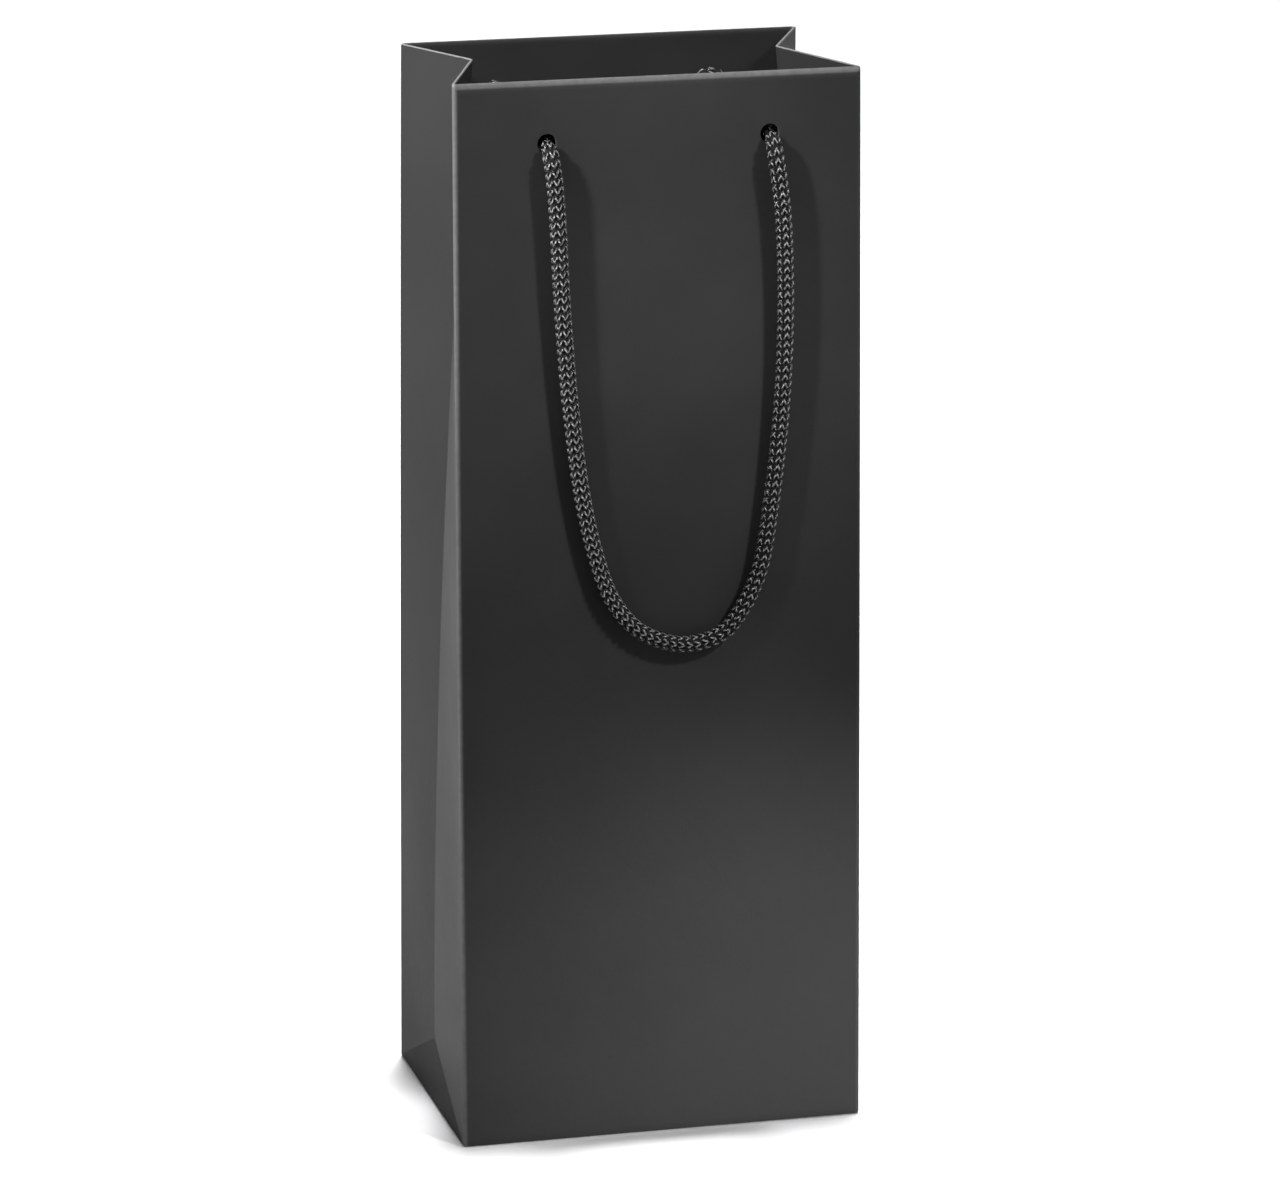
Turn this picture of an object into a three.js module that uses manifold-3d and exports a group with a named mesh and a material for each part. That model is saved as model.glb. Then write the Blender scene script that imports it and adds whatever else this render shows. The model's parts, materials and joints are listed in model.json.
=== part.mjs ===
// A gift bag for one bottle: laminated paper, gusseted sides, a turned rim and two knotted cord handles.
//
// Millimetres, +Z up. The origin is on the ground under the centre of the base, and the front panel faces -Y.
// The bag is one creased sheet, and each section between two creases is a mesh of its own.

import * as THREE from 'three';
import { mergeVertices } from 'three/addons/utils/BufferGeometryUtils.js';
import Module from 'manifold-3d';

const wasm = await Module();
wasm.setup();

// ---------------------------------------------------------------- driving dimensions

const width = 127;
const depth = 90;
const height = 330;
const mouthLean = 8.5;         // the front and back panels each lean in by this much at the rim
const gussetTuck = 15.3;       // the side's centre crease is pushed in by this much at the rim
const gussetSetback = 4;       // and ends this far behind the middle of the side
const tuckPower = 1.8;         // it stays nearly straight low down and bends in towards the rim
const triangleHeight = 20.5;   // the flat triangle at the foot of each side

const paper = 0.35;
const topBoard = 0.7;
const topBoardHeight = 36;
const baseBoard = 1;
const hemDepth = 40;
const layerGap = 0.1;          // between two sheets that lie on each other
const creaseGap = 0.3;         // between two sections that meet at a crease
const sideMargin = 2;          // the hem and the board stop this far short of the panel's edge

const holeSpacing = 68.8;
const holeBelowRim = 19;
const holeRadius = 3;

const cordRadius = 2.75;
const cordSides = 12;
const cordSteps = 48;
const cordStandOff = 5.3;      // from the panel to the cord's centre, just outside its hole
const knotRingRadius = 3.4;
const knotTilt = 0.5;
const knotRise = 2.5;          // the knot rides this far above its hole
const tailLength = 13;
const tailTilt = 0.35;         // the cut end hangs down and leans away from the panel

const lapWidth = 16;
const flapOverlap = 22;        // the front and back base flaps each reach this far past the middle
const sideFlapReach = 34;
const sideFlapEnd = 20;

const gussetRows = 10;
const gussetColumns = [0, 0.25, 0.5, 0.75, 1];

// The front handle's centre line from its left hole to its right one, as it hangs on the panel.
const loopPoints = [
  [-34.4, -42.3, 311],
  [-33.5, -42.5, 302],
  [-32.5, -42.9, 287],
  [-31.6, -43.1, 268],
  [-29.1, -43.4, 234],
  [-25.2, -43.8, 203],
  [-20.9, -44.2, 184],
  [-16.0, -44.5, 171],
  [-7.6, -44.6, 161],
  [6.0, -44.8, 156],
  [18.6, -44.7, 159],
  [25.4, -44.6, 167.5],
  [30.1, -44.3, 178],
  [33.9, -43.9, 200],
  [37.0, -43.5, 230],
  [38.0, -43.2, 261],
  [37.0, -42.9, 288],
  [35.4, -42.5, 302],
  [34.4, -42.3, 311],
];

// ---------------------------------------------------------------- worked-out dimensions

const holeZ = height - holeBelowRim;
const rimThickness = paper + layerGap + topBoard + layerGap + paper;
const gussetRimThickness = paper + layerGap + paper;
const sheetTop = height - paper - layerGap;
const insideEdge = paper + creaseGap;
const hemHeights = [height - hemDepth, height - hemDepth * 2 / 3, height - hemDepth / 3];

// Half the bag's depth outside, at a height.
const halfDepthAt = (z) => depth / 2 - mouthLean * z / height;

// The side's centre crease at a height, on the side at +X (side = 1) or -X (side = -1).
function creaseAt(side, z) {
  const climb = Math.max(0, z - triangleHeight) / (height - triangleHeight);
  const tuck = climb ** tuckPower;
  return new THREE.Vector3(side * (width / 2 - gussetTuck * tuck), gussetSetback * tuck, z);
}

// ---------------------------------------------------------------- materials

const paperMaterial = () => new THREE.MeshStandardMaterial({ color: 0x3a3a3b, roughness: 0.55, metalness: 0 });
const boardMaterial = () => new THREE.MeshStandardMaterial({ color: 0x8f8c86, roughness: 0.9, metalness: 0 });
const cordMaterial = () => new THREE.MeshStandardMaterial({ color: 0x454546, roughness: 0.8, metalness: 0 });

function piece(name, geometry, material) {
  const mesh = new THREE.Mesh(geometry, material);
  mesh.name = name;
  return mesh;
}

// ---------------------------------------------------------------- sheets

// A closed sheet between two grids of points of the same size, indexed [row][column].
function sheetBetween(faceGrid, backGrid) {
  const rows = faceGrid.length;
  const columns = faceGrid[0].length;
  const points = [...faceGrid.flat(), ...backGrid.flat()];
  const backStart = rows * columns;
  const at = (row, column) => row * columns + column;
  const triangles = [];
  const quad = (a, b, c, d) => triangles.push([a, b, c], [a, c, d]);

  for (let row = 0; row < rows - 1; row += 1) {
    for (let column = 0; column < columns - 1; column += 1) {
      const corners = [at(row, column), at(row, column + 1), at(row + 1, column + 1), at(row + 1, column)];
      const [a, b, c, d] = corners;
      quad(a, b, c, d);
      quad(a + backStart, d + backStart, c + backStart, b + backStart);
    }
  }

  const border = [];
  for (let column = 0; column < columns - 1; column += 1) border.push(at(0, column));
  for (let row = 0; row < rows - 1; row += 1) border.push(at(row, columns - 1));
  for (let column = columns - 1; column > 0; column -= 1) border.push(at(rows - 1, column));
  for (let row = rows - 1; row > 0; row -= 1) border.push(at(row, 0));
  border.forEach((start, index) => {
    const end = border[(index + 1) % border.length];
    quad(end, start, start + backStart, end + backStart);
  });

  let volume = 0;
  for (const [a, b, c] of triangles) {
    volume += points[a].dot(new THREE.Vector3().crossVectors(points[b], points[c]));
  }
  const outward = volume > 0 ? triangles : triangles.map(([a, b, c]) => [a, c, b]);

  const geometry = new THREE.BufferGeometry().setFromPoints(points);
  geometry.setIndex(outward.flat());
  return geometry;
}

// The same grid moved along its own normals, towards the inside of the bag.
function moveIn(grid, inside, distance) {
  const lastRow = grid.length - 1;
  return grid.map((rowPoints, row) => rowPoints.map((point, column) => {
    const across = rowPoints.at(-1).clone().sub(rowPoints[0]);
    const upper = grid[Math.min(row + 1, lastRow)][column];
    const lower = grid[Math.max(row - 1, 0)][column];
    const normal = upper.clone().sub(lower).cross(across).normalize();
    if (normal.dot(inside) < 0) normal.negate();
    return point.clone().addScaledVector(normal, distance);
  }));
}

// One layer of a wall, between two depths measured in from the wall's outer face.
const layer = (grid, inside, near, far) => sheetBetween(moveIn(grid, inside, near), moveIn(grid, inside, far));

// The rim of a wall turned over to the inside. gridAt(heights) gives the wall's outer face, a row per height.
function turnedRim(gridAt, inside, thickness) {
  const outer = gridAt([...hemHeights, height]);
  const lowered = gridAt([...hemHeights, height - paper]);
  const shown = [...moveIn(outer, inside, thickness), outer.at(-1)];
  const hidden = [...moveIn(lowered, inside, thickness - paper), lowered.at(-1)];
  return sheetBetween(shown, hidden);
}

// ---------------------------------------------------------------- booleans

function toManifold(geometry) {
  const bare = geometry.clone();
  bare.deleteAttribute('normal');
  bare.deleteAttribute('uv');
  const merged = mergeVertices(bare, 1e-4);
  return new wasm.Manifold(new wasm.Mesh({
    numProp: 3,
    vertProperties: new Float32Array(merged.attributes.position.array),
    triVerts: new Uint32Array(merged.index.array),
  }));
}

function fromManifold(solid) {
  const mesh = solid.getMesh();
  const geometry = new THREE.BufferGeometry();
  geometry.setAttribute('position', new THREE.BufferAttribute(new Float32Array(mesh.vertProperties), 3));
  geometry.setIndex(new THREE.BufferAttribute(new Uint32Array(mesh.triVerts), 1));
  return geometry;
}

// The two punched holes, cut through any layer of the front (face = -1) or back (face = 1) wall.
function punched(geometry, face) {
  let solid = toManifold(geometry);
  for (const end of [-1, 1]) {
    const punch = new THREE.CylinderGeometry(holeRadius, holeRadius, 8, 24);
    punch.translate(end * holeSpacing / 2, face * halfDepthAt(holeZ), holeZ);
    solid = solid.subtract(toManifold(punch));
  }
  return fromManifold(solid);
}

// ---------------------------------------------------------------- front and back walls

function wideWall(face, name) {
  const inside = new THREE.Vector3(0, -face, 0);
  const gridFrom = (halfWidth) => (heights) => heights.map((z) => [-halfWidth, halfWidth].map(
    (x) => new THREE.Vector3(x, face * halfDepthAt(z), z),
  ));
  const panelGrid = gridFrom(width / 2);
  const innerGrid = gridFrom(width / 2 - sideMargin);
  const boardNear = paper + layerGap;

  return [
    piece(`${name}_panel`, punched(layer(panelGrid([0, sheetTop]), inside, 0, paper), face), paperMaterial()),
    piece(
      `${name}_top_board`,
      punched(layer(innerGrid([sheetTop - topBoardHeight, sheetTop]), inside, boardNear, boardNear + topBoard), face),
      boardMaterial(),
    ),
    piece(`${name}_hem`, punched(turnedRim(innerGrid, inside, rimThickness), face), paperMaterial()),
  ];
}

// The glued lap that closes the sheet, inside the back panel at its right-hand edge.
function seamLap() {
  const right = width / 2 - sideMargin;
  const heights = [baseBoard + 2, height - hemDepth - sideMargin];
  const grid = heights.map((z) => [right - lapWidth, right].map((x) => new THREE.Vector3(x, halfDepthAt(z), z)));
  const near = paper + layerGap;
  return piece('side_seam_lap', layer(grid, new THREE.Vector3(0, -1, 0), near, near + paper), paperMaterial());
}

// ---------------------------------------------------------------- gussets

// The outer face of half a side wall, from its corner with the front (face = -1) or back (face = 1) panel
// to the centre crease. Below the triangle's tip it ends on the diagonal crease instead.
function gussetGrid(side, face, cornerInset) {
  return (heights) => heights.map((z) => {
    const corner = new THREE.Vector3(side * width / 2, face * halfDepthAt(z), z);
    const crease = creaseAt(side, z);
    const start = corner.clone().lerp(crease, cornerInset / corner.distanceTo(crease));
    const diagonal = face * depth / 2 * (1 - (z - creaseGap) / triangleHeight);
    if (face * diagonal > 0) crease.y = diagonal;
    const end = crease.clone().lerp(corner, creaseGap / 2 / corner.distanceTo(crease));
    return gussetColumns.map((share) => start.clone().lerp(end, share));
  });
}

function gussetHalf(side, face, sideName, faceName) {
  const inside = new THREE.Vector3(-side, 0, 0);
  const lowest = triangleHeight + creaseGap;
  const heights = [1];
  for (let row = 0; row < gussetRows; row += 1) {
    heights.push(lowest + (hemHeights[0] - lowest) * row / gussetRows);
  }
  heights.push(...hemHeights, sheetTop);
  const panel = layer(gussetGrid(side, face, insideEdge)(heights), inside, 0, paper);
  const hem = turnedRim(gussetGrid(side, face, insideEdge + creaseGap), inside, gussetRimThickness);
  return [
    piece(`${sideName}_gusset_${faceName}`, panel, paperMaterial()),
    piece(`${sideName}_hem_${faceName}`, hem, paperMaterial()),
  ];
}

// The flat triangle at the foot of a side wall.
function gussetBase(side, sideName) {
  const x = side * width / 2;
  const halfBase = depth / 2 - insideEdge;
  const tip = triangleHeight - creaseGap;
  const grid = [[0, halfBase], [tip, paper / 2]].map(
    ([z, reach]) => [-reach, reach].map((y) => new THREE.Vector3(x, y, z)),
  );
  return piece(`${sideName}_gusset_base`, layer(grid, new THREE.Vector3(-side, 0, 0), 0, paper), paperMaterial());
}

// ---------------------------------------------------------------- base

// A flat piece with the given outline, its underside at a height.
function flatPiece(name, outline, z, thickness, material) {
  const shape = new THREE.Shape(outline.map(([x, y]) => new THREE.Vector2(x, y)));
  const geometry = new THREE.ExtrudeGeometry(shape, { depth: thickness, bevelEnabled: false });
  geometry.translate(0, 0, z);
  return piece(name, geometry, material);
}

function base() {
  const halfWidth = width / 2 - insideEdge;
  const halfDepth = depth / 2 - insideEdge;
  const step = paper + layerGap;

  const wideFlap = (face) => [
    [-halfWidth, face * halfDepth],
    [halfWidth, face * halfDepth],
    [halfWidth, -face * flapOverlap],
    [-halfWidth, -face * flapOverlap],
  ];
  const sideFlap = (side) => [
    [side * halfWidth, -halfDepth],
    [side * halfWidth, halfDepth],
    [side * (halfWidth - sideFlapReach), sideFlapEnd / 2],
    [side * (halfWidth - sideFlapReach), -sideFlapEnd / 2],
  ];
  const boardHalfWidth = halfWidth - 1;
  const boardHalfDepth = halfDepth - 1;
  const boardOutline = [
    [-boardHalfWidth, -boardHalfDepth],
    [boardHalfWidth, -boardHalfDepth],
    [boardHalfWidth, boardHalfDepth],
    [-boardHalfWidth, boardHalfDepth],
  ];

  return [
    flatPiece('front_base_flap', wideFlap(-1), 0, paper, paperMaterial()),
    flatPiece('back_base_flap', wideFlap(1), step, paper, paperMaterial()),
    flatPiece('left_base_flap', sideFlap(-1), 2 * step, paper, paperMaterial()),
    flatPiece('right_base_flap', sideFlap(1), 2 * step, paper, paperMaterial()),
    flatPiece('base_board', boardOutline, 3 * step, baseBoard, boardMaterial()),
  ];
}

// ---------------------------------------------------------------- handles

function loopGeometry() {
  const section = [];
  for (let side = 0; side < cordSides; side += 1) {
    const angle = side / cordSides * 2 * Math.PI;
    section.push(new THREE.Vector2(cordRadius * Math.cos(angle), cordRadius * Math.sin(angle)));
  }
  const route = new THREE.CatmullRomCurve3(loopPoints.map((point) => new THREE.Vector3(...point)));
  return new THREE.ExtrudeGeometry(new THREE.Shape(section), {
    steps: cordSteps,
    extrudePath: route,
    bevelEnabled: false,
  });
}

// A knot behind its hole, with the cord through the hole and the cut end hanging down.
// Its own origin is the hole's mouth on the panel's outer face, and +Y points into the bag.
function knotGeometry() {
  const halfKnotDepth = knotRingRadius * Math.sin(knotTilt) + cordRadius;
  const centre = new THREE.Vector3(0, rimThickness + creaseGap + halfKnotDepth, knotRise);
  const parts = [];

  for (const tilt of [-knotTilt, knotTilt]) {
    const ring = new THREE.TorusGeometry(knotRingRadius, cordRadius, 8, 16);
    ring.rotateX(Math.PI / 2 + tilt);
    ring.translate(...centre);
    parts.push(ring);
  }

  const core = new THREE.SphereGeometry(knotRingRadius, 12, 8);
  core.translate(...centre);
  parts.push(core);

  const shankOut = cordStandOff - cordRadius - creaseGap;
  const shank = new THREE.CylinderGeometry(cordRadius, cordRadius, centre.y + shankOut, cordSides);
  shank.translate(0, (centre.y - shankOut) / 2, 0);
  parts.push(shank);

  const tail = new THREE.CylinderGeometry(cordRadius, cordRadius, tailLength, cordSides);
  tail.translate(0, -tailLength / 2, 0);
  tail.rotateX(Math.PI / 2 + tailTilt);
  tail.translate(...centre);
  parts.push(tail);

  return fromManifold(parts.map(toManifold).reduce((whole, part) => whole.add(part)));
}

// A handle of the front wall. The back one is the same, turned half way round.
function handle(name, turned) {
  const group = new THREE.Group();
  group.rotation.z = turned ? Math.PI : 0;
  group.add(piece(`${name}_handle_cord`, loopGeometry(), cordMaterial()));
  for (const end of [-1, 1]) {
    const onLeft = (end === -1) !== turned;
    const knot = piece(`${name}_${onLeft ? 'left' : 'right'}_knot`, knotGeometry(), cordMaterial());
    knot.position.set(end * holeSpacing / 2, -halfDepthAt(holeZ), holeZ);
    group.add(knot);
  }
  return group;
}

// ---------------------------------------------------------------- the bag

const bag = new THREE.Group();
bag.add(...wideWall(-1, 'front'));
bag.add(...wideWall(1, 'back'));
for (const [side, sideName] of [[-1, 'left'], [1, 'right']]) {
  bag.add(...gussetHalf(side, -1, sideName, 'front'));
  bag.add(...gussetHalf(side, 1, sideName, 'back'));
  bag.add(gussetBase(side, sideName));
}
bag.add(seamLap());
bag.add(...base());
bag.add(handle('front', false));
bag.add(handle('back', true));

export default bag;
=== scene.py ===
"""A one-bottle gift bag: matt laminated paper, gusseted sides, a turned rim and two knitted cord handles.

Shapes are worked out in millimetres and scaled in mesh_piece().
"""
import json
import math

import bpy
import numpy as np
from mathutils import Matrix, Vector, noise

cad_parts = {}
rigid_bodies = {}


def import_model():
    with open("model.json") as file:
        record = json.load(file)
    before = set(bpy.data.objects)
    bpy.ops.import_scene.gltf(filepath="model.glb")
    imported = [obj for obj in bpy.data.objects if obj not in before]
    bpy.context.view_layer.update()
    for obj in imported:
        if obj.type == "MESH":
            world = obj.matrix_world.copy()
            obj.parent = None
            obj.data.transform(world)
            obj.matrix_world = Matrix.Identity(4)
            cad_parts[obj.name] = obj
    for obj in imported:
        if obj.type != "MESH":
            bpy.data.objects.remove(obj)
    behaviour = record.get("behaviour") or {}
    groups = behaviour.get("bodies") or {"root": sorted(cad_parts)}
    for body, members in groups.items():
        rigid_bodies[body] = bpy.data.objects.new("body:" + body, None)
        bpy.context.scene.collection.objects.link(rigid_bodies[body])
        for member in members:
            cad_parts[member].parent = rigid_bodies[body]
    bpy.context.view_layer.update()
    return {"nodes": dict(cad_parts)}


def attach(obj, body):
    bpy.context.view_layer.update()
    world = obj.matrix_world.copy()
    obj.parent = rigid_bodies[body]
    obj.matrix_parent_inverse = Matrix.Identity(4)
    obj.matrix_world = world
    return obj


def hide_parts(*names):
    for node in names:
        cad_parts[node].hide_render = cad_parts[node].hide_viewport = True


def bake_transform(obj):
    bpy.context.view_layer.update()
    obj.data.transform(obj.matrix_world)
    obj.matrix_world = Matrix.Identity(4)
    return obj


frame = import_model()
nodes = frame["nodes"]
scene = bpy.context.scene

MM = 0.001

# ---------------------------------------------------------------- sizes, in millimetres

HALF_WIDTH = 63.5
HALF_DEPTH = 45.0
HEIGHT = 330.0
MOUTH_LEAN = 8.5          # each wide wall leans in by this much at the rim
TUCK = 15.3               # the side's centre crease is pushed in by this much at the rim
SETBACK = 4.0             # and ends this far behind the middle
TUCK_POWER = 1.8
TRIANGLE = 20.5           # height of the flat triangle at the foot of each side
CREASE_MEMORY = 1.2       # the centre crease never opens quite flat

PAPER = 0.35
RIM = 1.6                 # wall thickness at the rim, front and back
GUSSET_RIM = 0.8          # and at the sides, always more than two layers of paper
WIDE_FOLD = 1.35          # height of the rounded fold along the rim
GUSSET_FOLD = 0.28
HEM = 40.0                # how far the turned rim goes down inside
CORNER = 1.25             # radius of the four upright corners
SHARPEST_CORNER = 0.3     # and the least that it is on the inside of the sheet
VALLEY = 0.7              # how far each side the centre crease is rounded

HOLE_X = 34.4
HOLE_Z = 311.0
HOLE_RADIUS = 3.0
CORD_DROP = 0.9           # the cord lies on the lower edge of its hole
HOLE_SIDES = 48
HOLE_CUT = (33.0, 42.0)   # the cutter's two ends, out from the middle of the bag

# ---------------------------------------------------------------- camera

CAMERA_AZIMUTH = 14.55    # in degrees, how far left of straight on the camera stands
CAMERA_ELEVATION = 15.06
CAMERA_ROLL = 0.0018      # in radians
CAMERA_DISTANCE = 1971.7  # from the middle of the bag
CAMERA_ACROSS = 3.85
CAMERA_ABOVE = -4.94
SENSOR_WIDTH = 36.0
FOCAL_PIXELS = 6358.3
FRAME_PIXELS = 1280


def add_camera():
    azimuth, elevation = math.radians(CAMERA_AZIMUTH), math.radians(CAMERA_ELEVATION)
    forward = Vector((
        math.sin(azimuth) * math.cos(elevation),
        math.cos(azimuth) * math.cos(elevation),
        -math.sin(elevation),
    ))
    right = Vector((math.cos(azimuth), -math.sin(azimuth), 0.0))
    up = right.cross(forward)
    middle = Vector((0, 0, HEIGHT / 2))
    place = middle - forward * CAMERA_DISTANCE + right * CAMERA_ACROSS + up * CAMERA_ABOVE
    turned_right = right * math.cos(CAMERA_ROLL) + up * math.sin(CAMERA_ROLL)
    turned_up = up * math.cos(CAMERA_ROLL) - right * math.sin(CAMERA_ROLL)

    camera = bpy.data.objects.new("camera", bpy.data.cameras.new("camera"))
    scene.collection.objects.link(camera)
    camera.data.sensor_fit = "HORIZONTAL"
    camera.data.sensor_width = SENSOR_WIDTH
    camera.data.lens = SENSOR_WIDTH * FOCAL_PIXELS / FRAME_PIXELS
    camera.data.clip_end = 50.0
    axes = Matrix((turned_right, turned_up, -forward)).transposed().to_4x4()
    camera.matrix_world = Matrix.Translation(place * MM) @ axes
    scene.camera = camera


add_camera()
scene.view_settings.view_transform = "Standard"

# ---------------------------------------------------------------- mesh helpers

SHARP_ANGLE = 35.0        # in degrees, edges that turn more than this aren't smoothed over
SPLINE_SAMPLES = 40       # to each pair of points


def mesh_piece(name, points, faces, materials, sharp_angle=SHARP_ANGLE):
    """A smooth-shaded mesh from points in millimetres."""
    mesh = bpy.data.meshes.new(name)
    mesh.from_pydata((np.asarray(points) * MM).tolist(), [], faces)
    mesh.validate()
    for material in materials:
        mesh.materials.append(material)
    mesh.shade_smooth()
    mesh.set_sharp_from_angle(angle=math.radians(sharp_angle))
    piece = bpy.data.objects.new(name, mesh)
    scene.collection.objects.link(piece)
    return piece


def float_attribute(piece, name, values):
    attribute = piece.data.attributes.new(name, "FLOAT", "POINT")
    attribute.data.foreach_set("value", np.asarray(values, np.float32))


def unit(vectors):
    return vectors / np.linalg.norm(vectors, axis=-1, keepdims=True)


def spline(points, spacing):
    """Points evenly spaced along a centripetal Catmull-Rom curve, with the length run at each."""
    points = np.asarray(points, float)
    ends = [2 * points[0] - points[1], 2 * points[-1] - points[-2]]
    knots = np.vstack([ends[:1], points, ends[1:]])
    curve = []
    for p0, p1, p2, p3 in zip(knots, knots[1:], knots[2:], knots[3:]):
        t1 = np.linalg.norm(p1 - p0) ** 0.5
        t2 = t1 + np.linalg.norm(p2 - p1) ** 0.5
        t3 = t2 + np.linalg.norm(p3 - p2) ** 0.5
        t = np.linspace(t1, t2, SPLINE_SAMPLES, endpoint=False)[:, None]
        a1 = (t1 - t) / t1 * p0 + t / t1 * p1
        a2 = (t2 - t) / (t2 - t1) * p1 + (t - t1) / (t2 - t1) * p2
        a3 = (t3 - t) / (t3 - t2) * p2 + (t - t2) / (t3 - t2) * p3
        b1 = (t2 - t) / t2 * a1 + t / t2 * a2
        b2 = (t3 - t) / (t3 - t1) * a2 + (t - t1) / (t3 - t1) * a3
        curve.append((t2 - t) / (t2 - t1) * b1 + (t - t1) / (t2 - t1) * b2)
    curve = np.vstack([*curve, points[-1:]])
    run = np.concatenate([[0], np.cumsum(np.linalg.norm(np.diff(curve, axis=0), axis=1))])
    count = max(2, int(round(run[-1] / spacing)) + 1)
    even = np.linspace(0, run[-1], count)
    return resample(run, curve, even), even


def resample(run, rows, at):
    return np.stack([np.interp(at, run, rows[:, axis]) for axis in range(3)], axis=1)


def frames(line, first_side):
    """Tangents and two sideways directions carried along a line without twisting."""
    tangent = unit(np.gradient(line, axis=0))
    side = np.empty_like(line)
    current = np.asarray(first_side, float)
    for index, direction in enumerate(tangent):
        current = current - direction * current.dot(direction)
        current = current / math.sqrt(current.dot(current))
        side[index] = current
    return tangent, side, np.cross(tangent, side)


def tube(line, radii, sides, side, other):
    """Points, faces and the angle round each point, for a closed tube along a line."""
    angle = np.arange(sides) / sides * 2 * math.pi
    ring = (np.cos(angle)[None, :, None] * side[:, None]
            + np.sin(angle)[None, :, None] * other[:, None])
    points = (line[:, None] + ring * np.asarray(radii)[:, None, None]).reshape(-1, 3)
    start = np.arange(len(line) - 1)[:, None] * sides
    near = start + np.arange(sides)[None, :]
    far = start + (np.arange(sides)[None, :] + 1) % sides
    quads = np.stack([near, far, far + sides, near + sides], axis=-1).reshape(-1, 4)
    faces = quads.tolist()
    faces.append(list(range(sides))[::-1])
    faces.append([(len(line) - 1) * sides + step for step in range(sides)])
    return points, faces, np.tile(angle, len(line))


# ---------------------------------------------------------------- materials

PANEL_TONE = 0.557        # the wide walls' tone, then the painted shade of each facet of a side wall, from 0, darkest, to 1, lightest
FRONT_HALF_PAINTED_SHADE = 1.0
BACK_HALF_PAINTED_SHADE = 0.416
TRIANGLE_PAINTED_SHADE = 0.2
CREASE_BLUR = 0.0003      # in metres, how far each side of a crease one facet's painted shade runs into the next's
FILM_DARKEST = 0.0027
FILM_LIGHTEST = 0.0137
# The film's colour where it is painted pale along rims and corners: partly wear, partly a painted highlight.
WEAR_AND_HIGHLIGHT_FILM = 0.075
FOOT_MATTNESS = 0.07      # how much rougher the film is on the foot's triangles
PLY_LENGTH = 1.1          # in millimetres, how far along the yarn one ply follows the last


class Shader:
    """A small builder for one procedural material."""

    def __init__(self, name):
        self.material = bpy.data.materials.new(name)
        self.material.use_nodes = True
        self.tree = self.material.node_tree
        self.surface = self.tree.nodes["Principled BSDF"]
        self.objects = self.node("ShaderNodeTexCoord").outputs["Object"]

    def node(self, kind, **settings):
        made = self.tree.nodes.new(kind)
        for key, value in settings.items():
            setattr(made, key, value)
        return made

    def link(self, source, target):
        self.tree.links.new(source, target)

    def fill(self, socket, value):
        if isinstance(value, bpy.types.NodeSocket):
            self.link(value, socket)
        else:
            socket.default_value = value

    def set(self, **values):
        for key, value in values.items():
            self.fill(self.surface.inputs[key.replace("_", " ")], value)

    def noise(self, scale, detail=2.0, rough=0.5, stretch=(1, 1, 1), distortion=0.0):
        """Cells are about 1 / scale metres across."""
        mapping = self.node("ShaderNodeMapping")
        mapping.inputs["Scale"].default_value = stretch
        self.link(self.objects, mapping.inputs["Vector"])
        made = self.node("ShaderNodeTexNoise")
        self.link(mapping.outputs["Vector"], made.inputs["Vector"])
        made.inputs["Scale"].default_value = scale
        made.inputs["Detail"].default_value = detail
        made.inputs["Roughness"].default_value = rough
        made.inputs["Distortion"].default_value = distortion
        return made.outputs["Fac"]

    def ramp(self, value, low, high, out_low, out_high):
        """Runs smoothly from out_low, where value is low or less, to out_high."""
        made = self.node("ShaderNodeMapRange", interpolation_type="SMOOTHSTEP")
        for socket, number in zip(made.inputs, [value, low, high, out_low, out_high]):
            self.fill(socket, number)
        return made.outputs["Result"]

    def math(self, operation, *values):
        made = self.node("ShaderNodeMath", operation=operation)
        for socket, value in zip(made.inputs, values):
            self.fill(socket, value)
        return made.outputs[0]

    def mix(self, share, first, second):
        """Between two colours."""
        made = self.node("ShaderNodeMix", data_type="RGBA")
        self.fill(made.inputs["Factor"], share)
        for socket, value in zip(made.inputs[6:8], [first, second]):
            self.fill(socket, value)
        return made.outputs[2]

    def blend(self, share, first, second):
        """Between two numbers."""
        made = self.node("ShaderNodeMix", data_type="FLOAT")
        for socket, value in zip(made.inputs[0:1] + made.inputs[2:4], [share, first, second]):
            self.fill(socket, value)
        return made.outputs[0]

    def attribute(self, name):
        return self.node("ShaderNodeAttribute", attribute_name=name).outputs["Fac"]

    def bump(self, height, distance, under=None):
        made = self.node("ShaderNodeBump")
        made.inputs["Strength"].default_value = 1.0
        made.inputs["Distance"].default_value = distance
        self.link(height, made.inputs["Height"])
        if under is not None:
            self.link(under, made.inputs["Normal"])
        return made.outputs["Normal"]


def grey(value):
    return (value, value, value * 1.01, 1.0)


def facet_painted_shade(shader):
    """Painted shade: each facet of a side wall is painted its own shade, the foot's triangle darkest, the front
    half lightest.
    """
    place = shader.node("ShaderNodeSeparateXYZ")
    shader.link(shader.objects, place.inputs[0])
    _, y, z = place.outputs
    climb = shader.math("DIVIDE", shader.math("SUBTRACT", z, TRIANGLE * MM), (HEIGHT - TRIANGLE) * MM)
    middle = shader.math("POWER", shader.math("MAXIMUM", climb, 0.0), TUCK_POWER)
    behind = shader.math("SUBTRACT", y, shader.math("MULTIPLY", middle, SETBACK * MM))
    half = shader.ramp(behind, -CREASE_BLUR, CREASE_BLUR, FRONT_HALF_PAINTED_SHADE, BACK_HALF_PAINTED_SHADE)
    below = shader.math("SUBTRACT", TRIANGLE * MM, z)
    diagonal = shader.math("MULTIPLY", below, HALF_DEPTH / TRIANGLE)
    within = shader.math("SUBTRACT", diagonal, shader.math("ABSOLUTE", y))
    inside = shader.ramp(within, -CREASE_BLUR, CREASE_BLUR, 0.0, 1.0)
    facet = shader.blend(inside, half, TRIANGLE_PAINTED_SHADE)
    return shader.blend(shader.attribute("side"), PANEL_TONE, facet)


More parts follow.
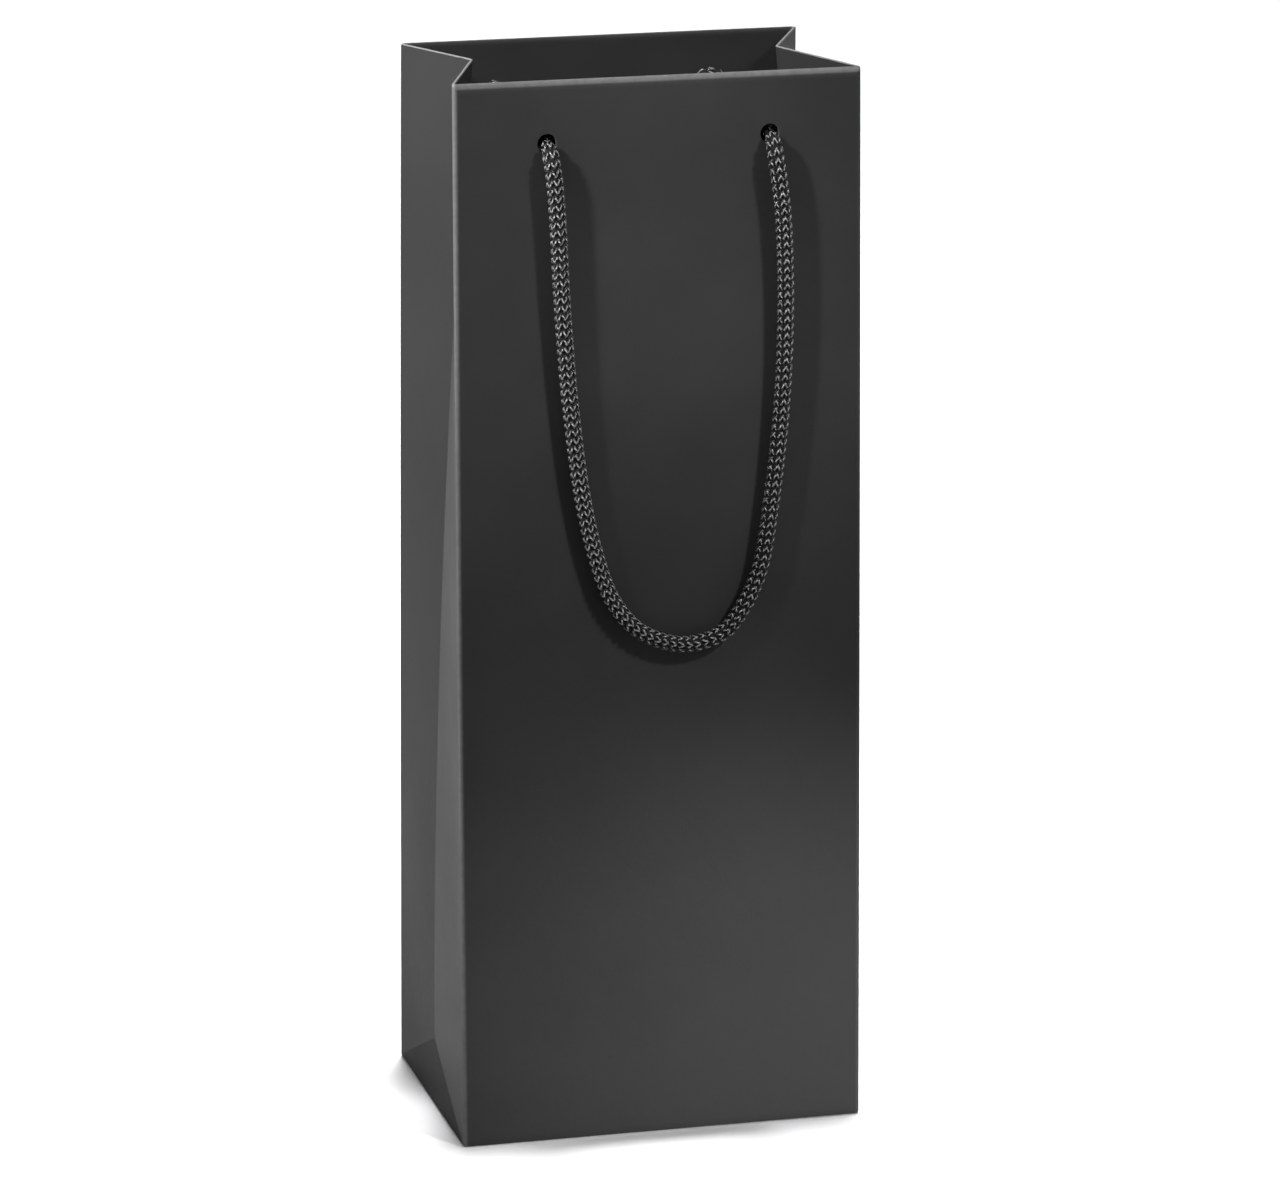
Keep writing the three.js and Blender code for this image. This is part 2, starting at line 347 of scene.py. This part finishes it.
def laminated_paper():
    """Black paper under a matt film: fine grain, faint clouds, painted shade on the side walls' facets, and paler
    along its rims and upright corners, partly wear and partly a painted highlight.
    """
    shader = Shader("laminated_paper")
    clouds = shader.noise(14, detail=3)
    grain = shader.noise(2600, detail=3, rough=0.6)
    scuffs = shader.noise(420, detail=4, rough=0.65)
    # Partly wear, partly a painted highlight: the film is paler along the rims and upright corners.
    fold_wear_and_highlight = shader.math("MULTIPLY", shader.attribute("fold"), shader.ramp(scuffs, 0.3, 0.62, 0.75, 1.0))
    # Painted shade on the side walls: each facet gets its own shade, lightest on the front half.
    facet = facet_painted_shade(shader)
    shade = shader.math("ADD", facet, shader.ramp(clouds, 0.3, 0.7, -0.106, 0.106))
    film = shader.mix(shade, grey(FILM_DARKEST), grey(FILM_LIGHTEST))
    texture = shader.math("ADD", clouds, shader.math("MULTIPLY", grain, 0.5))
    matt = shader.ramp(texture, 0.5, 1.0, 0.50, 0.60)
    matt = shader.math("ADD", matt, shader.ramp(facet, TRIANGLE_PAINTED_SHADE, BACK_HALF_PAINTED_SHADE, FOOT_MATTNESS, 0.0))
    shader.set(
        Base_Color=shader.mix(fold_wear_and_highlight, film, grey(WEAR_AND_HIGHLIGHT_FILM)),
        Roughness=shader.math("SUBTRACT", matt, shader.math("MULTIPLY", fold_wear_and_highlight, 0.12)),
        Specular_IOR_Level=0.04,
        Normal=shader.bump(grain, 0.00004, under=shader.bump(shader.noise(120, detail=2), 0.00008)),
    )
    return shader.material


def bare_paper():
    """The sheet's unlaminated side: matt, fibrous and dyed nearly black."""
    shader = Shader("bare_paper")
    fibres = shader.noise(900, detail=5, rough=0.7, stretch=(1, 1, 0.35), distortion=0.8)
    shader.set(
        Base_Color=shader.mix(shader.ramp(fibres, 0.3, 0.7, 0.0, 1.0), grey(0.016), grey(0.026)),
        Roughness=shader.ramp(fibres, 0.3, 0.7, 0.8, 0.92),
        Specular_IOR_Level=0.3,
        Normal=shader.bump(fibres, 0.00006),
    )
    return shader.material


def board(name, lightness):
    """Pressed fibres with lighter and darker flecks, from warm grey at lightness 1 to black at 0."""
    shader = Shader(name)
    fibres = shader.noise(700, detail=6, rough=0.7, stretch=(0.5, 1, 1), distortion=1.2)
    flecks = shader.noise(1500, detail=2)
    dark, light, fleck = [
        (red * lightness, green * lightness, blue * lightness, 1)
        for red, green, blue in [(0.20, 0.19, 0.175), (0.34, 0.325, 0.30), (0.07, 0.065, 0.06)]
    ]
    body = shader.mix(shader.ramp(fibres, 0.3, 0.7, 0.0, 1.0), dark, light)
    shader.set(
        Base_Color=shader.mix(shader.ramp(flecks, 0.64, 0.72, 0.0, 0.7), body, fleck),
        Roughness=shader.ramp(fibres, 0.3, 0.7, 0.85, 0.95),
        Specular_IOR_Level=0.3,
        Normal=shader.bump(fibres, 0.0001),
    )
    return shader.material


def yarn():
    """Black polyester yarn: three twisted plies with a soft sheen on their filaments, with a painted highlight on
    the outward side of each stitch's legs and painted shade in the gaps between.
    """
    shader = Shader("knitted_yarn")
    turn = shader.math(
        "ADD",
        shader.math("MULTIPLY", shader.attribute("round_yarn"), 3.0),
        shader.math("MULTIPLY", shader.attribute("along_yarn"), 2 * math.pi / PLY_LENGTH),
    )
    plies = shader.math("COSINE", turn)
    lint = shader.noise(3000, detail=3, rough=0.6)
    patches = shader.ramp(lint, 0.2, 0.8, -0.15, 0.15)
    tone = shader.math("ADD", shader.math("MULTIPLY", plies, 0.12), patches)
    # Painted highlight and shade: pale where the yarn faces outward along a stitch's legs, near black at its sides
    # and in the gaps.
    crest = shader.ramp(shader.math("ADD", shader.attribute("crest"), tone), 0.62, 1.0, 0.0, 1.0)
    shader.set(
        Base_Color=shader.mix(crest, grey(0.002), grey(0.185)),
        Roughness=shader.ramp(lint, 0.3, 0.7, 0.34, 0.46),
        Specular_IOR_Level=0.12,
        Normal=shader.bump(shader.math("ADD", plies, shader.math("MULTIPLY", lint, 0.6)), 0.00006),
    )
    return shader.material


def cord_core():
    """The filler inside the knitted tube, seen only between its stitches: its own black, darkened further as
    painted shade for the gaps.
    """
    shader = Shader("cord_core")
    strands = shader.noise(1800, detail=3, stretch=(1, 1, 0.3))
    shader.set(
        Base_Color=shader.mix(shader.ramp(strands, 0.3, 0.7, 0.0, 1.0), grey(0.002), grey(0.005)),
        Roughness=shader.ramp(strands, 0.3, 0.7, 0.7, 0.85),
        Specular_IOR_Level=0.05,
        Normal=shader.bump(strands, 0.0001),
    )
    return shader.material


PAPER_MATERIAL = laminated_paper()
BARE_MATERIAL = bare_paper()
BOARD_MATERIAL = board("grey_board", 1.0)
DARK_BOARD_MATERIAL = board("black_board", 0.1)
YARN_MATERIAL = yarn()
CORE_MATERIAL = cord_core()

# ---------------------------------------------------------------- knitted cord

WALES = 6                 # columns of stitches round the cord
COURSE = 2.55             # how far one row of stitches lies above the last
YARN_RADIUS = 0.40
KNIT_RADIUS = 1.47        # how far out from the middle of the cord the yarn lies
LEG_RELIEF = 0.88         # how much further out a stitch's legs stand, and its head and foot lie in
STITCH_REACH = 1.45       # half of one stitch's height
STITCH_SWAY = 0.30        # in radians round the cord, as is the next
STITCH_PINCH = 0.07
STITCH_SAMPLES = 10
YARN_SIDES = 8
CORE_RADIUS = 1.88
CORE_SIDES = 12
CORE_STEP = 3             # the core takes one in so many of the route's points
CORE_END = 1.5            # length over which it is rounded off at its ends
CORE_TIP = 0.15
ROUTE_SPACING = 0.4
YARN_SHARP_ANGLE = 80


def knitted(name, route, first_side, squeeze=lambda run, length: np.ones_like(run)):
    """A knitted tube along a route: one yarn that runs round and round in stitches, over a core."""
    line, run = spline(route, ROUTE_SPACING)
    length = run[-1]
    _, side, other = frames(line, first_side)

    stitches = int((length - 2 * STITCH_REACH) / COURSE * WALES)
    t = np.arange(stitches * STITCH_SAMPLES) / STITCH_SAMPLES * 2 * math.pi
    at = STITCH_REACH + COURSE * t / (2 * math.pi * WALES) - STITCH_REACH * np.cos(t)
    angle = t / WALES + STITCH_SWAY * np.sin(2 * t) - STITCH_PINCH * np.sin(t)
    reach = (KNIT_RADIUS - LEG_RELIEF * np.cos(2 * t)) * squeeze(at, length)
    centre = resample(run, line, at)
    outward = (np.cos(angle)[:, None] * unit(resample(run, side, at))
               + np.sin(angle)[:, None] * unit(resample(run, other, at)))
    strand = centre + outward * reach[:, None]
    tangent = unit(np.gradient(strand, axis=0))
    top = unit(outward - tangent * (outward * tangent).sum(axis=1, keepdims=True))
    yarn_points, yarn_faces, yarn_angle = tube(
        strand, np.full(len(strand), YARN_RADIUS) * squeeze(at, length) ** 0.5, YARN_SIDES,
        top, np.cross(tangent, top))
    # Where the yarn is painted light: its outward side along each stitch's legs, fading to nothing at the heads
    # and feet.
    leg = np.repeat(np.clip(0.5 - 0.5 * np.cos(2 * t), 0, 1), YARN_SIDES)
    crest = np.clip(np.cos(yarn_angle), 0, 1) * leg

    core_line = line[::CORE_STEP]
    core_run = run[::CORE_STEP]
    from_end = np.minimum(core_run, length - core_run)
    rounding = np.sqrt(np.clip(from_end / CORE_END, CORE_TIP, 1))
    core_radii = CORE_RADIUS * squeeze(core_run, length) * rounding
    core_points, core_faces, _ = tube(core_line, core_radii, CORE_SIDES, *frames(core_line, first_side)[1:])

    offset = len(yarn_points)
    faces = yarn_faces + [[corner + offset for corner in face] for face in core_faces]
    points = np.vstack([yarn_points, core_points])
    piece = mesh_piece(name, points, faces, [YARN_MATERIAL, CORE_MATERIAL], YARN_SHARP_ANGLE)
    slots = np.zeros(len(faces), np.int32)
    slots[len(yarn_faces):] = 1
    piece.data.polygons.foreach_set("material_index", slots)
    strand_run = np.concatenate([[0], np.cumsum(np.linalg.norm(np.diff(strand, axis=0), axis=1))])
    blank = np.zeros(len(core_points))
    float_attribute(piece, "round_yarn", np.concatenate([yarn_angle, blank]))
    float_attribute(piece, "along_yarn", np.concatenate([np.repeat(strand_run, YARN_SIDES), blank]))
    float_attribute(piece, "crest", np.concatenate([crest, blank]))
    return piece, line


# The front handle's centre line, from inside its left hole to inside its right one.
LOOP = [
    (-34.4, -35.6, 310.1),
    (-34.4, -37.5, 310.1),
    (-34.4, -39.3, 309.8),
    (-34.35, -40.9, 308.7),
    (-34.2, -41.9, 306.8),
    (-33.9, -42.4, 304.2),
    (-33.5, -42.6, 301),
    (-32.5, -42.9, 287),
    (-31.6, -43.1, 268),
    (-29.1, -43.4, 234),
    (-25.2, -43.8, 203),
    (-20.9, -44.2, 184),
    (-16.0, -44.5, 171),
    (-7.6, -44.6, 161),
    (6.0, -44.8, 156),
    (18.6, -44.7, 159),
    (25.4, -44.6, 167.5),
    (30.1, -44.3, 178),
    (33.9, -43.9, 200),
    (37.0, -43.5, 230),
    (38.0, -43.2, 261),
    (37.0, -42.9, 288),
    (35.4, -42.6, 301),
    (34.9, -42.4, 304.2),
    (34.6, -41.9, 306.8),
    (34.45, -40.9, 308.7),
    (34.4, -39.3, 309.8),
    (34.4, -37.5, 310.1),
    (34.4, -35.6, 310.1),
]


# The overhand knots: a ring that the cord goes round, rising and sinking as it goes, and a tail.
KNOT_RING = 2.35
KNOT_LIFT = 1.45
KNOT_DEPTH = 1.85
KNOT_BEHIND = 6.3         # the knot's middle, in from the wall
KNOT_ABOVE = 2.5          # and above the middle of its hole
KNOT_STEPS = 14
KNOT_TURN = 10 / 3 * math.pi


def half_turned(points):
    return [(-x, -y, z) for x, y, z in points]


def knot_route(hole_x, spread, sink):
    """An overhand knot behind a front hole: in from the hole, round twice, and down into the tail."""
    wall = -(HALF_DEPTH - MOUTH_LEAN * HOLE_Z / HEIGHT)
    middle = np.array([hole_x, wall + KNOT_BEHIND, HOLE_Z + KNOT_ABOVE - sink])
    points = [(hole_x, wall + 1.3, HOLE_Z - CORD_DROP), (hole_x, wall + 2.6, HOLE_Z - CORD_DROP)]
    for step in range(1, KNOT_STEPS + 1):
        turn = step / KNOT_STEPS * KNOT_TURN
        phase = -math.pi / 2 + 1.5 * turn      # three rises to two turns tie the knot
        radius = KNOT_RING + KNOT_LIFT * math.cos(phase)
        angle = turn - math.pi / 2
        points.append(tuple(middle + np.array([
            spread * radius * math.cos(angle), KNOT_DEPTH * math.sin(phase), radius * math.sin(angle),
        ])))
    tail = [(-3.2 * spread, 1.9, -1.6), (-3.0 * spread, 2.6, -5.0), (-2.6, 3.6, -9.0), (-2.4, 4.4, -13.2)]
    for offset in tail:
        points.append(tuple(middle + np.array(offset)))
    return points


# How wide the cord is where it is drawn in, out of 1, and where and over what length it opens again.
TIGHT_WIDTH = 0.84
TIGHT_UNTIL = 10          # from the end of the tail
TIGHT_EASE = 4
GRIPPED_WIDTH = 0.76
GRIPPED_UNTIL = 2.5       # from each end of the loop
GRIPPED_EASE = 4.5


def tight(run, length):
    """The cord is drawn in where it is knotted, and opens again in its tail."""
    tail = np.clip((run - (length - TIGHT_UNTIL)) / TIGHT_EASE, 0, 1)
    return TIGHT_WIDTH + (1 - TIGHT_WIDTH) * tail


def gripped(run, length):
    """The loop is narrower where its ends lie over the edges of their holes."""
    opened = np.clip((np.minimum(run, length - run) - GRIPPED_UNTIL) / GRIPPED_EASE, 0, 1)
    return GRIPPED_WIDTH + (1 - GRIPPED_WIDTH) * opened ** 2 * (3 - 2 * opened)


# How wide each knot is pulled, and how far it has sunk, by handle and then by end of the cord.
KNOT_SHAPES = {
    "front": {-1: (1.0, 0.0), 1: (1.1, 0.3)},
    "back": {-1: (1.35, 0.2), 1: (0.95, 1.1)},
}


def add_handle(name, turned):
    place = half_turned if turned else list
    outward = (0, 0, 1)
    route = place(LOOP)
    cord, line = knitted(f"{name}_handle_loop", route, outward, gripped)
    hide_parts(f"{name}_handle_cord")
    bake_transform(cord)
    for end in (-1, 1):
        side_name = "left" if (end == -1) != turned else "right"
        inner = knot_route(end * HOLE_X, *KNOT_SHAPES[name][end])
        knot, _ = knitted(f"{name}_{side_name}_cord_knot", place(inner), outward, tight)
        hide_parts(f"{name}_{side_name}_knot")
        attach(knot, "bag")


add_handle("front", False)
add_handle("back", True)

# ---------------------------------------------------------------- the folded sheet

CREASE_ROOM = 1.6         # least distance from the centre crease to the outline's next corner
CORNER_ROOM = 2.2         # and from that one to the upright corner
FOOT_TURN = 0.62          # how far in the sheet's lower edge lies
BROAD_RIPPLE = 0.34
FINE_RIPPLE = 0.08
CALM_FOOT = 30            # the ripple grows over this height from the foot
CALM_RIM = 60             # and dies away over this height below the rim


def half_depth(z):
    return HALF_DEPTH - MOUTH_LEAN * z / HEIGHT


def inset(y, z):
    """How far in from the side's flat plane a gusset lies at a height."""
    climb = max(0.0, z - TRIANGLE) / (HEIGHT - TRIANGLE)
    tuck = climb ** TUCK_POWER
    peak = CREASE_MEMORY * (1 - tuck) + TUCK * tuck
    middle = SETBACK * tuck
    reach = half_depth(z) + (middle if y < middle else -middle)
    slope = peak * (1 - abs(y - middle) / reach)
    if z < TRIANGLE:
        slope = min(slope, CREASE_MEMORY * z / TRIANGLE)
    return max(0.0, slope)


def outline_corners(z):
    """The outline's corners at a height, anticlockwise from front left."""
    depth = half_depth(z)
    climb = max(0.0, z - TRIANGLE) / (HEIGHT - TRIANGLE)
    middle = SETBACK * climb ** TUCK_POWER
    diagonal = max(CREASE_ROOM, HALF_DEPTH * (1 - z / TRIANGLE))
    diagonal = min(diagonal, depth - CORNER_ROOM)
    stops = [middle - diagonal, middle, middle + diagonal]
    right = [(HALF_WIDTH - inset(y, z), y) for y in stops]
    left = [(-x, y) for x, y in reversed(right)]
    front = [(-HALF_WIDTH, -depth), (HALF_WIDTH, -depth)]
    back = [(HALF_WIDTH, depth), (-HALF_WIDTH, depth)]
    return [*front, *right, *back, *left]


# For each corner of the outline: whether it is an upright corner of the bag, and whether a wide wall starts there.
UPRIGHT = [True, True, False, False, False, True, True, False, False, False]
WIDE = [True, False, False, False, False, True, False, False, False, False]
ACROSS_WIDE = [0.003, 0.009, 0.025, *np.linspace(0.055, 0.945, 28), 0.975, 0.991, 0.997]
ACROSS_HALF = [0.01, 0.03, 0.08, 0.17, 0.28, 0.4, 0.52, 0.64, 0.76, 0.87, 0.95]
BY_CREASE = [0.33, 0.67]
HALF_BACK = [1 - share for share in reversed(ACROSS_HALF)]
SPANS = [ACROSS_WIDE, ACROSS_HALF, BY_CREASE, BY_CREASE, HALF_BACK] * 2
FILLET = {True: 6, False: 3}
# How pale the film is painted at each upright corner and along the rim: partly wear, partly a painted highlight,
# strongest on the front left corner.
CORNER_WEAR_AND_HIGHLIGHT = {0: 0.5, 1: 0.07, 5: 0.13, 6: 0.13}
RIM_WEAR_AND_HIGHLIGHT = 0.50
BROW_PAINTED_HIGHLIGHT = 0.07          # just under the front and back rims, a painted highlight


def offset_outline(z, wide_in, side_in):
    """The sheet's outline at a height, moved in from its outer face, always with the same number of points."""
    corners = [np.array(corner) for corner in outline_corners(z)]
    count = len(corners)
    along = [unit(corners[(index + 1) % count] - corners[index]) for index in range(count)]
    moved = []
    for index in range(count):
        before, after = along[index - 1], along[index]
        in_before = (wide_in if WIDE[index - 1] else side_in) * np.array([-before[1], before[0]])
        in_after = (wide_in if WIDE[index] else side_in) * np.array([-after[1], after[0]])
        cross = before[0] * after[1] - before[1] * after[0]
        if UPRIGHT[index]:
            gap = in_after - in_before
            step = (gap[0] * after[1] - gap[1] * after[0]) / cross
            moved.append(corners[index] + in_before + before * step)
        else:
            moved.append(corners[index] + (in_before + in_after) / 2)

    back = [unit(moved[index - 1] - moved[index]) for index in range(count)]
    ahead = [unit(moved[(index + 1) % count] - moved[index]) for index in range(count)]
    turn = [math.acos(np.clip(-before.dot(after), -1, 1)) for before, after in zip(back, ahead)]
    radius = max(SHARPEST_CORNER, CORNER - min(wide_in, side_in))
    cut = [radius * math.tan(angle / 2) if upright else VALLEY for angle, upright in zip(turn, UPRIGHT)]

    points = []
    for index in range(count):
        here, onward = moved[index], (index + 1) % count
        start, end = here + back[index] * cut[index], here + ahead[index] * cut[index]
        weight = math.cos(turn[index] / 2)
        steps = FILLET[UPRIGHT[index]]
        for step in range(steps + 1):
            t = step / steps
            blend = np.array([(1 - t) ** 2, 2 * t * (1 - t) * weight, t * t])
            arc = blend[0] * start + blend[1] * here + blend[2] * end
            points.append(arc / blend.sum())
        far = moved[onward] + back[onward] * cut[onward]
        for share in SPANS[index]:
            points.append(end + (far - end) * share)
    return np.array(points)


def column_facts():
    """For each column: how pale its upright corner is painted, partly wear and partly a painted highlight, how
    free to ripple, and how much it belongs to a wide wall.
    """
    fold, free, wide = [], [], []
    for index, upright in enumerate(UPRIGHT):
        steps = FILLET[upright]
        for step in range(steps + 1):
            middle = 1 - abs(2 * step / steps - 1)
            fold.append(CORNER_WEAR_AND_HIGHLIGHT[index] * min(1.0, 0.3 + 1.4 * middle) if upright else 0.0)
            free.append(0.0)
            share = step / steps
            wide.append((share if WIDE[index] else 1 - share) if upright else 0.0)
        for share in SPANS[index]:
            fold.append(0.0)
            free.append(math.sin(math.pi * share) if len(SPANS[index]) > 2 else 0.0)
            wide.append(1.0 if WIDE[index] else 0.0)
    return np.array(fold), np.array(free), np.array(wide)


def profile():
    """The sheet in section: up its outer side, over the rim, down the hem, and back along its inner side.

    Each row is (height, rise, share, gap, kind). Rise, where it isn't None, counts up from the foot of the rim's
    rounded fold, which is 0, to its top, 1. Share is how much of the rim's thickness, and gap how many more
    millimetres, the row lies in from the outer face.
    """
    foot = [(0.0, FOOT_TURN), (0.04, 0.36), (0.22, 0.12), (0.6, 0.0)]
    climb = [2.5, 5, 8, 11, 14, 17, 20, 23, 27, 32, 38, 45, 54, 64]
    climb += list(np.linspace(75, 285, 27)) + [290, 294, 300, 306, 312, 318, 322, 325]
    rows = [(z, None, 0.0, gap, "outer") for z, gap in foot]
    rows += [(z, None, 0.0, 0.0, "outer") for z in climb]
    rows += [(HEIGHT, -1.3, 0.0, 0.0, "outer"), (HEIGHT, -0.35, 0.0, 0.0, "brow")]
    for step in range(9):
        angle = math.pi * step / 8
        rows.append((HEIGHT, math.sin(angle), (1 - math.cos(angle)) / 2, 0.0, "rim"))
    rows.append((HEIGHT, -0.4, 1.0, 0.0, "hem"))
    hem = [326.5, 323, 318, 312, 306, 300, 294, HEIGHT - HEM]
    rows += [(z, None, 1.0, 0.0, "hem") for z in hem]
    rows += [(z, None, 1.0, -PAPER, "hidden") for z in reversed(hem)]
    rows.append((HEIGHT - PAPER, None, 0.5, 0.0, "hidden"))
    rows += [(z, None, 0.0, PAPER, "inner") for z in reversed(climb)]
    rows += [(0.8, None, 0.0, PAPER, "inner"), (PAPER, None, 0.0, FOOT_TURN, "inner")]
    return rows


def ripple(x, y, z):
    """Soft unevenness of a stretched sheet, in millimetres."""
    broad = noise.noise(Vector((x * 0.016, y * 0.016 + 3.1, z * 0.011)))
    fine = noise.noise(Vector((x * 0.05 + 7.7, y * 0.05, z * 0.035)))
    return BROAD_RIPPLE * broad + FINE_RIPPLE * fine


def add_bag():
    fold_column, free, wide = column_facts()
    fold_height = GUSSET_FOLD + (WIDE_FOLD - GUSSET_FOLD) * wide
    rows = profile()
    points, fold = [], []
    for z, rise, share, gap, kind in rows:
        ring = offset_outline(z, share * RIM + gap, share * GUSSET_RIM + gap)
        face = offset_outline(z, 0.0, 0.0)
        along = np.roll(face, -1, axis=0) - np.roll(face, 1, axis=0)
        outward = unit(np.stack([along[:, 1], -along[:, 0]], axis=1))
        calm = np.clip(z / CALM_FOOT, 0, 1) * np.clip((HEIGHT - z) / CALM_RIM, 0.25, 1)
        swell = np.array([ripple(x, y, z) for x, y in face]) * free * calm
        ring = ring + outward * swell[:, None]
        heights = np.full(len(ring), z) if rise is None else z - fold_height * (1 - rise)
        points.append(np.column_stack([ring, heights]))
        # The rim is painted pale, all of it on the sides and its outer half on the wide walls: partly wear, partly
        # a painted highlight.
        rim_wear_and_highlight = 0.0
        if kind == "rim":
            rim_wear_and_highlight = np.where(wide > 0.5, np.clip(1.0 - 1.2 * share, 0, RIM_WEAR_AND_HIGHLIGHT), 1.0)
        elif kind == "brow":
            rim_wear_and_highlight = np.where(wide > 0.5, BROW_PAINTED_HIGHLIGHT, 0.0)
        seen = kind in ("outer", "brow", "rim")
        # On the outer face the upright corners are painted pale, a little more towards the top: partly wear,
        # partly a painted highlight.
        corner_wear_and_highlight = fold_column * (0.72 + 0.12 * z / HEIGHT) if seen else 0 * fold_column
        fold.append(np.maximum(corner_wear_and_highlight, rim_wear_and_highlight))
    columns = len(points[0])
    points = np.vstack(points)

    faces, slots = [], []
    for row in range(len(rows)):
        upper = (row + 1) % len(rows)
        bare = rows[row][4] in ("hidden", "inner") and rows[upper][4] in ("hidden", "inner", "outer")
        for column in range(columns):
            ahead = (column + 1) % columns
            faces.append([row * columns + column, row * columns + ahead,
                          upper * columns + ahead, upper * columns + column])
            slots.append(1 if bare else 0)

    bag = mesh_piece("bag_shell", points, faces, [PAPER_MATERIAL, BARE_MATERIAL])
    bag.data.polygons.foreach_set("material_index", np.array(slots, np.int32))
    float_attribute(bag, "fold", np.concatenate(fold))
    # Marks the side walls, which carry the painted facet shade.
    float_attribute(bag, "side", np.tile(1 - wide, len(rows)))
    punch_holes(bag)
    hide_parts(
        "front_panel", "back_panel", "front_hem", "back_hem",
        *[f"{side}_{part}_{face}" for side in ("left", "right")
          for part in ("gusset", "hem") for face in ("front", "back")],
        "left_gusset_base", "right_gusset_base",
    )
    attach(bag, "bag")


def punch_holes(bag):
    """Four round holes through both walls and their hem."""
    points, faces = [], []
    for x in (-HOLE_X, HOLE_X):
        for wall in (-1, 1):
            start = len(points)
            for reach in HOLE_CUT:
                for step in range(HOLE_SIDES):
                    angle = step / HOLE_SIDES * 2 * math.pi
                    across, up = HOLE_RADIUS * math.cos(angle), HOLE_RADIUS * math.sin(angle)
                    points.append((x + across, wall * reach, HOLE_Z + up))
            near = list(range(start, start + HOLE_SIDES))
            far = list(range(start + HOLE_SIDES, start + 2 * HOLE_SIDES))
            flip = wall > 0
            for step in range(HOLE_SIDES):
                ahead = (step + 1) % HOLE_SIDES
                quad = [near[step], near[ahead], far[ahead], far[step]]
                faces.append(quad[::-1] if flip else quad)
            faces.append(near if flip else near[::-1])
            faces.append(far[::-1] if flip else far)
    cutter = mesh_piece("hole_cutter", points, faces, [BARE_MATERIAL])
    cut = bag.modifiers.new("holes", "BOOLEAN")
    cut.operation = "DIFFERENCE"
    cut.solver = "EXACT"
    cut.object = cutter
    bpy.context.view_layer.update()
    ready = bag.evaluated_get(bpy.context.evaluated_depsgraph_get())
    mesh = bpy.data.meshes.new_from_object(ready)
    bag.modifiers.clear()
    bag.data = mesh
    mesh.set_sharp_from_angle(angle=math.radians(SHARP_ANGLE))
    bpy.data.objects.remove(cutter)


add_bag()

# ---------------------------------------------------------------- boards and flaps from the frame

nodes["base_board"].material_slots[0].material = BOARD_MATERIAL
for name in ("front_top_board", "back_top_board"):
    nodes[name].material_slots[0].material = DARK_BOARD_MATERIAL
for name in ("front_base_flap", "back_base_flap", "left_base_flap", "right_base_flap", "side_seam_lap"):
    nodes[name].material_slots[0].material = PAPER_MATERIAL

# ---------------------------------------------------------------- floor and light

FLOOR_REACH = 12.0        # in metres, as is the next
FLOOR_DROP = 0.0002       # keeps the floor just clear of the base


def add_floor():
    shader = Shader("studio_floor")
    tone = shader.noise(3, detail=2)
    shader.set(
        Base_Color=shader.mix(tone, grey(0.90), grey(0.92)),
        Roughness=0.9,
        Specular_IOR_Level=0.1,
    )
    mesh = bpy.data.meshes.new("floor")
    corners = [(-1, -1), (1, -1), (1, 1), (-1, 1)]
    mesh.from_pydata([(x * FLOOR_REACH, y * FLOOR_REACH, 0) for x, y in corners], [], [(0, 1, 2, 3)])
    mesh.materials.append(shader.material)
    floor = bpy.data.objects.new("floor", mesh)
    floor.location.z = -FLOOR_DROP
    scene.collection.objects.link(floor)


def add_light(name, kind, place, target, energy, **settings):
    light = bpy.data.objects.new(name, bpy.data.lights.new(name, kind))
    scene.collection.objects.link(light)
    light.data.energy = energy
    for key, value in settings.items():
        setattr(light.data, key, value)
    light.location = place
    light.rotation_euler = (Vector(target) - Vector(place)).to_track_quat("-Z", "Y").to_euler()


def add_studio():
    world = bpy.data.worlds.new("studio")
    world.use_nodes = True
    background = world.node_tree.nodes["Background"]
    background.inputs["Color"].default_value = (1, 1, 1, 1)
    background.inputs["Strength"].default_value = 0.20
    scene.world = world
    # Nearly overhead, a little behind and to the right: they whiten the floor and draw the contact shadow.
    add_light("overhead", "SUN", (0.05, 0.09, 2.0), (0, 0, 0), 2.3, angle=math.radians(3.4))
    add_light("overhead_right", "SUN", (0.14, 0.03, 2.0), (0, 0, 0), 0.7, angle=math.radians(5.0))
    # High on the right in front, which throws the cord's shadow down and to the left.
    add_light("key", "SPOT", (0.61, -1.01, 1.19), (0, -0.04, 0.243), 265, shadow_soft_size=0.085,
              spot_size=math.radians(10.8), spot_blend=0.8)
    # High on the left in front, narrow, for the mouth and the top of the panel.
    add_light("mouth", "SPOT", (-0.85, -0.50, 0.95), (-0.03, 0.012, 0.345), 900, shadow_soft_size=0.12,
              spot_size=math.radians(8.4), spot_blend=1.0)
    # On the left, close to the floor and faintly pink, turned up at the side's upper half.
    add_light("side", "SPOT", (-1.4, 0.1, 0.035), (-0.05, 0, 0.215), 240, shadow_soft_size=0.03,
              spot_size=math.radians(24), spot_blend=1.0, color=(1.0, 0.965, 0.975))
    # Faint, from behind on the left.
    add_light("behind", "AREA", (-0.8, 1.2, 0.45), (-0.06, 0, 0.17), 2, shape="RECTANGLE", size=0.5, size_y=0.6)
    # On the right in front, close to the floor: a pool on the foot of the front panel.
    add_light("low", "SPOT", (0.5, -0.8, 0.03), (0.036, -0.045, 0.022), 125, shadow_soft_size=0.028,
              spot_size=math.radians(17), spot_blend=1.0)
    # On the back of the bag, which the camera doesn't see.
    add_light("rear", "AREA", (0.2, 1.0, 1.2), (0, 0, 0.17), 16, shape="RECTANGLE", size=0.6, size_y=0.6)


add_floor()
add_studio()
